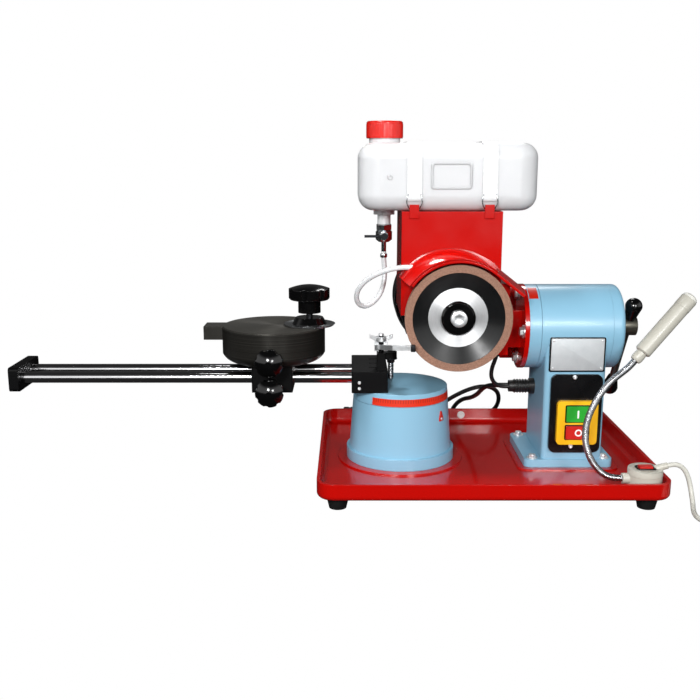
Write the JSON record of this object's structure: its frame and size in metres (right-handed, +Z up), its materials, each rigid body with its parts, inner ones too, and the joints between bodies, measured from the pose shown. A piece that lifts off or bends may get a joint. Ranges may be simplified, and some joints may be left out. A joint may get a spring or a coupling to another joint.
{
  "type": "saw blade sharpener",
  "caption": "Bench grinder for circular saw blades: water-cooled wheel on a swinging motor head, drip tray, turret with sliding blade carrier, work lamp.",
  "frame": {"origin": "on the bench, under the middle of the machine without its free cords", "axes": "+Z up, -Y towards the operator, the carrier's rods reach out along -X"},
  "size_m": [0.895, 0.4637, 0.435],
  "materials": {
    "red_enamel": "gloss",
    "blue_enamel": "gloss",
    "black_enamel": "satin",
    "black_plastic": "gloss",
    "rubber": "matte",
    "steel": "satin",
    "chrome": "polished",
    "abrasive": "matte",
    "wheel_black": "satin",
    "tank_white": "satin",
    "red_plastic": "gloss",
    "yellow_plastic": "satin",
    "green_plastic": "satin",
    "cream_plastic": "satin",
    "cast_grey": "satin",
    "bare_aluminium": "satin",
    "brass": "satin",
    "black_cord": "satin",
    "white_cord": "satin"
  },
  "bodies": {
    "base": {"base_tray": "red_enamel", "rubber_feet": "rubber", "turret_base": "blue_enamel", "column": "blue_enamel", "column_end_cap": "blue_enamel", "pivot_bushes": "brass", "switch_plate": "black_plastic", "switch_frame": "yellow_plastic", "cable_gland": "black_plastic", "mains_lead": "black_cord", "mains_coil": "black_cord", "mains_plug": "black_plastic", "motor_lead": "black_cord", "lamp_base": "cream_plastic", "gooseneck": "chrome", "lamp_head": "cream_plastic", "lamp_cord": "white_cord", "lamp_coil": "white_cord", "lamp_plug": "white_cord"},
    "start_push": {"start_button": "green_plastic"},
    "stop_push": {"stop_button": "red_plastic"},
    "lamp_switch": {"lamp_rocker": "red_plastic"},
    "head": {"pivot_shaft": "steel", "swing_ring": "blue_enamel", "head_bracket": "red_enamel", "wheel_guard": "red_enamel", "flange_bolts": "steel", "motor_housing": "black_enamel", "motor_fan_cowl": "black_enamel", "motor_stator": "steel", "motor_bearings": "steel", "lever_bar": "steel", "lever_grips": "black_plastic", "tank": "tank_white", "tank_straps": "tank_white", "valve_body": "chrome", "coolant_hose": "white_cord"},
    "cap": {"tank_cap": "red_plastic"},
    "valve_key": {"valve_lever": "chrome"},
    "wheel": {"abrasive_ring": "abrasive", "wheel_body": "wheel_black", "wheel_core": "bare_aluminium", "wheel_flange": "black_enamel", "arbor_screw": "chrome", "rotor": "steel"},
    "arm": {"turret_top": "blue_enamel", "arm_block": "black_enamel", "rail_rods": "chrome", "rail_end_plate": "black_enamel", "finger_post": "black_enamel"},
    "finger": {"finger_bar": "steel"},
    "wing": {"wing_nut": "chrome"},
    "carrier": {"carrier_block": "black_enamel"},
    "carrier_grip": {"carrier_knob": "black_plastic"},
    "seat": {"blade_seat": "cast_grey"},
    "seat_grip": {"seat_knob": "black_plastic"},
    "cone": {"centring_disc": "bare_aluminium", "centring_cone": "black_enamel"},
    "stem": {"clamp_stem": "steel"},
    "clamp_grip": {"clamp_knob": "black_plastic"}
  },
  "joints": [
    {"name": "head_swing", "type": "hinge", "parent": "base", "child": "head", "pos_m": [0.285, 0, 0.187], "axis": [1, 0, 0], "range_deg": [-15, 15], "deforming": ["motor_lead"]},
    {"name": "wheel_spin", "type": "hinge", "parent": "head", "child": "wheel", "pos_m": [0.1377, 0, 0.2097], "axis": [0, 1, 0], "continuous": true},
    {"name": "cap_turn", "type": "hinge", "parent": "head", "child": "cap", "pos_m": [0.05295, 0, 0.425], "axis": [0, 0, 1], "range_deg": [0, 720]},
    {"name": "valve_turn", "type": "hinge", "parent": "head", "child": "valve_key", "pos_m": [0.05295, -0.0145, 0.2995], "axis": [0, 1, 0], "range_deg": [-90, 0]},
    {"name": "turret_turn", "type": "hinge", "parent": "base", "child": "arm", "pos_m": [0.0755, 0, 0.105], "axis": [0, 0, 1], "range_deg": [-30, 5]},
    {"name": "carrier_slide", "type": "slide", "parent": "arm", "child": "carrier", "axis": [1, 0, 0], "range_m": [-0.28, 0.03]},
    {"name": "seat_turn", "type": "hinge", "parent": "carrier", "child": "seat", "pos_m": [-0.0838, 0, 0.145], "axis": [0, 0, 1], "range_deg": [-60, 60]},
    {"name": "carrier_knob_turn", "type": "hinge", "parent": "carrier", "child": "carrier_grip", "pos_m": [-0.0838, -0.07, 0.12], "axis": [0, 1, 0], "range_deg": [-180, 180]},
    {"name": "seat_knob_turn", "type": "hinge", "parent": "seat", "child": "seat_grip", "pos_m": [-0.0838, -0.075, 0.156], "axis": [0, 1, 0], "range_deg": [-180, 180]},
    {"name": "cone_lift", "type": "slide", "parent": "seat", "child": "cone", "axis": [0, 0, 1], "range_m": [0, 0.005]},
    {"name": "clamp_lift", "type": "slide", "parent": "seat", "child": "stem", "axis": [0, 0, 1], "range_m": [-0.005, 0.005]},
    {"name": "clamp_turn", "type": "hinge", "parent": "stem", "child": "clamp_grip", "pos_m": [-0.039, 0, 0.2142], "axis": [0, 0, 1], "range_deg": [-1430, 1430]},
    {"name": "finger_swing", "type": "hinge", "parent": "arm", "child": "finger", "pos_m": [0.0495, -0.03, 0.165], "axis": [0, 0, 1], "range_deg": [-25, 0]},
    {"name": "wing_turn", "type": "hinge", "parent": "arm", "child": "wing", "pos_m": [0.0495, -0.03, 0.175], "axis": [0, 0, 1], "range_deg": [-180, 180]},
    {"name": "start_press", "type": "slide", "parent": "base", "child": "start_push", "axis": [0, 1, 0], "range_m": [0, 0.0025], "stiffness_N_per_m": 600},
    {"name": "stop_press", "type": "slide", "parent": "base", "child": "stop_push", "axis": [0, 1, 0], "range_m": [0, 0.0025], "stiffness_N_per_m": 600},
    {"name": "lamp_switch_tilt", "type": "hinge", "parent": "base", "child": "lamp_switch", "pos_m": [0.3495, -0.128, 0.045], "axis": [0, 1, 0], "range_deg": [-8, 8]}
  ],
  "couplings": [
    {"joint": "clamp_lift", "follows": "clamp_turn", "m_per_rad": 0.00019894}
  ]
}
